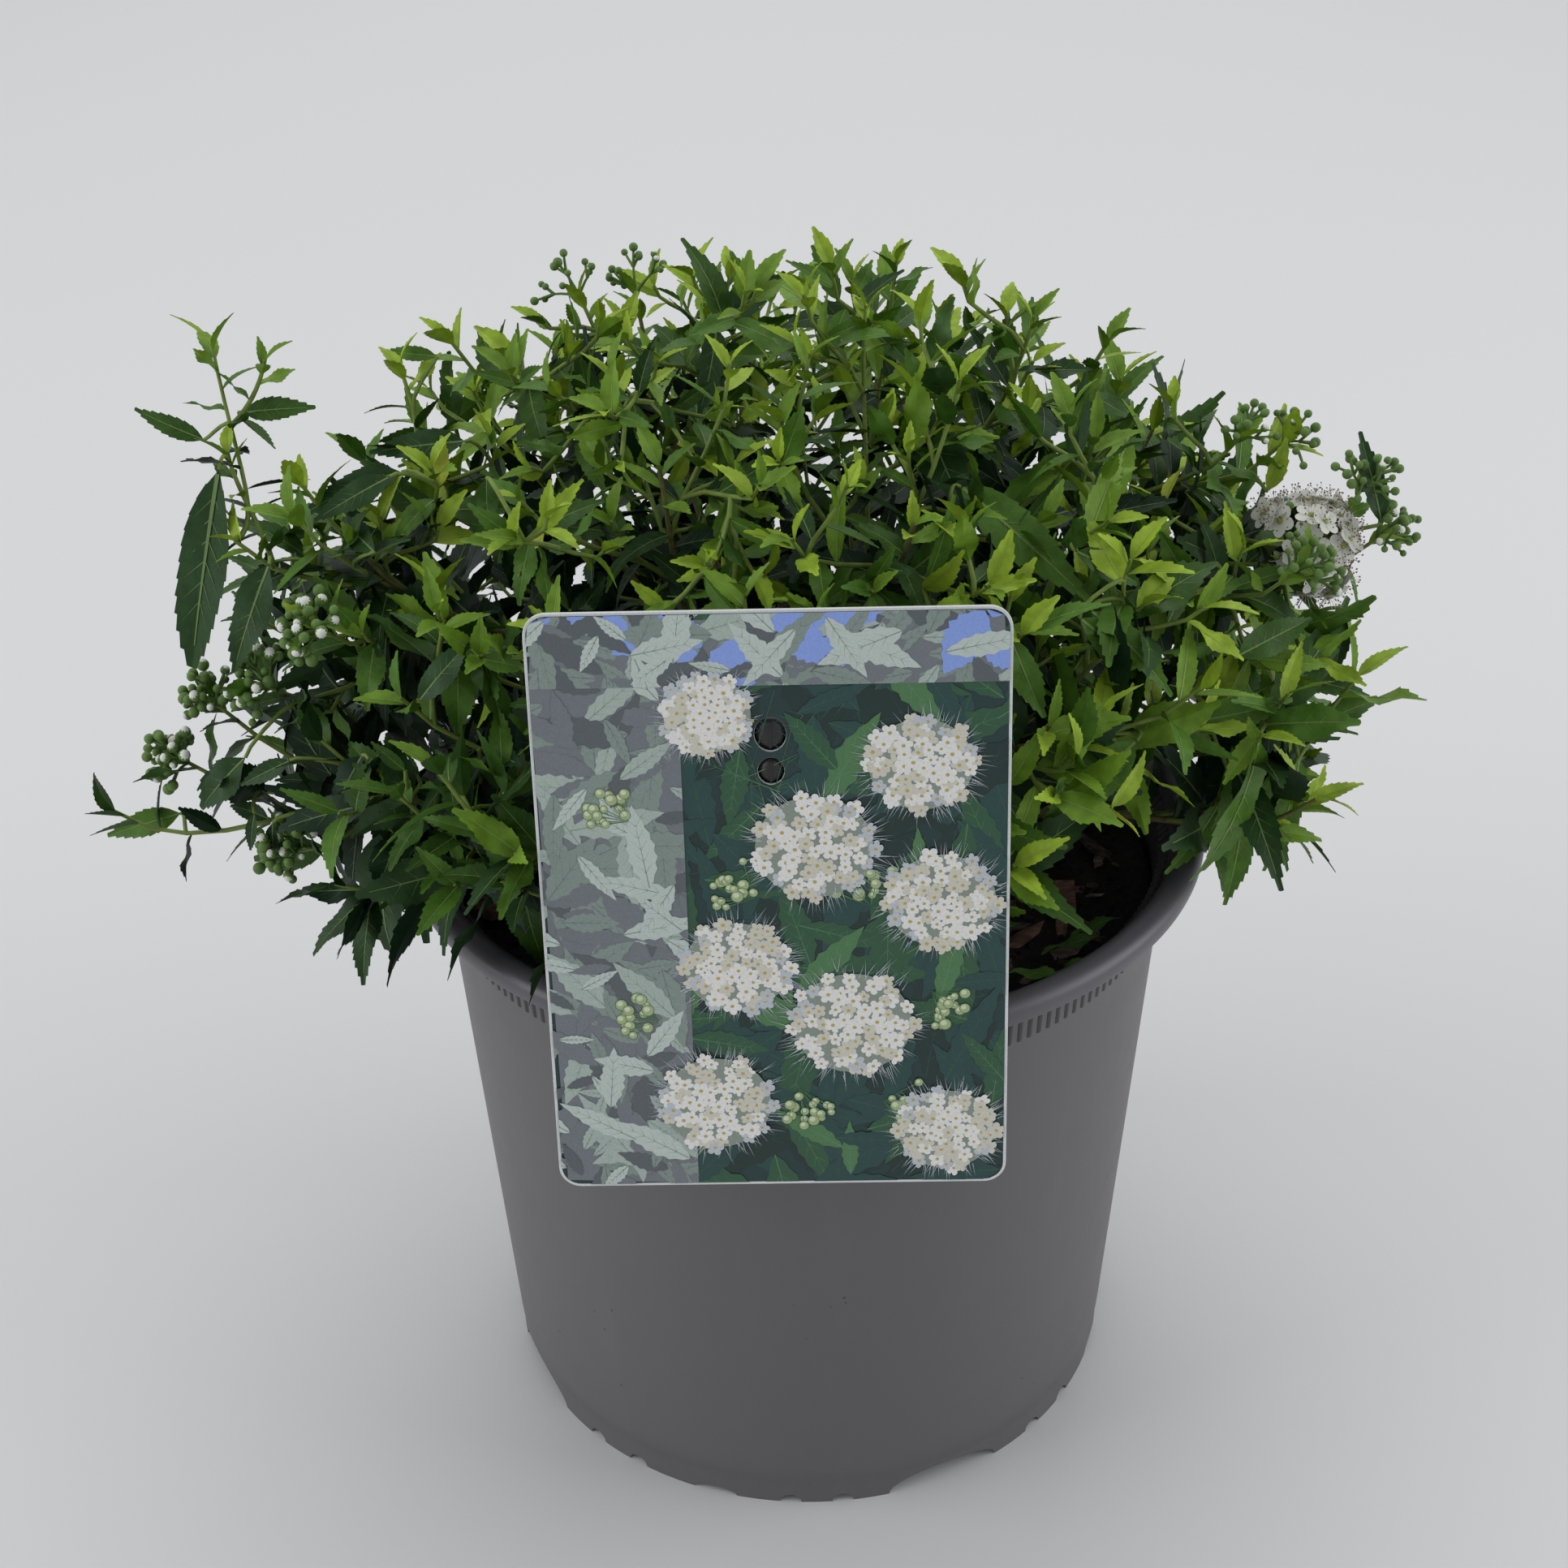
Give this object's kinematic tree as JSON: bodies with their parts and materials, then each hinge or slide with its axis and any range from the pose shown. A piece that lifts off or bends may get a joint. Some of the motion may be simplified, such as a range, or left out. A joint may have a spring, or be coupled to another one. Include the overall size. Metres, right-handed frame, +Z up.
{
  "type": "potted japanese spirea shrub",
  "caption": "Low rounded flowering shrub in a round nursery pot, with potting soil and a picture label on a holder; woody stems fan out from one root crown into leafy masses.",
  "frame": {"origin": "centre of the pot's flat underside, at the level of the surface that it stands on", "axes": "+Z up, -Y the front where the label hangs, +X to the right as seen from the front"},
  "size_m": [0.3077, 0.2333, 0.2948],
  "materials": {
    "pot_plastic": "matte taupe-grey moulded plastic with a slightly glossier lip",
    "peat_soil": "dark peat with bark chips",
    "label_card": null,
    "holder_plastic": "black moulded plastic",
    "bark": "brown bark, greener towards the shoots",
    "leaf_green": "toothed leaves, yellow-green young and dark green old, with white blossom and green buds"
  },
  "bodies": {
    "root": {"pot": "pot_plastic", "soil": "peat_soil", "label": "label_card", "label_holder": "holder_plastic", "root_crown": "bark", "bough_low_01": "bark", "bough_low_02": "bark", "bough_low_03": "bark", "bough_low_04": "bark", "bough_low_05": "bark", "bough_low_06": "bark", "bough_low_07": "bark", "bough_low_08": "bark", "bough_low_09": "bark", "bough_low_10": "bark", "bough_low_11": "bark", "bough_mid_01": "bark", "bough_mid_02": "bark", "bough_mid_03": "bark", "bough_mid_04": "bark", "bough_mid_05": "bark", "bough_mid_06": "bark", "bough_mid_07": "bark", "bough_mid_08": "bark", "bough_top_01": "bark", "bough_top_02": "bark", "bough_top_03": "bark", "bough_top_04": "bark", "foliage_low_01": "leaf_green", "foliage_low_02": "leaf_green", "foliage_low_03": "leaf_green", "foliage_low_04": "leaf_green", "foliage_low_05": "leaf_green", "foliage_low_06": "leaf_green", "foliage_low_07": "leaf_green", "foliage_low_08": "leaf_green", "foliage_low_09": "leaf_green", "foliage_low_10": "leaf_green", "foliage_low_11": "leaf_green", "foliage_mid_01": "leaf_green", "foliage_mid_02": "leaf_green", "foliage_mid_03": "leaf_green", "foliage_mid_04": "leaf_green", "foliage_mid_05": "leaf_green", "foliage_mid_06": "leaf_green", "foliage_mid_07": "leaf_green", "foliage_mid_08": "leaf_green", "foliage_top_01": "leaf_green", "foliage_top_02": "leaf_green", "foliage_top_03": "leaf_green", "foliage_top_04": "leaf_green"}
  },
  "joints": []
}
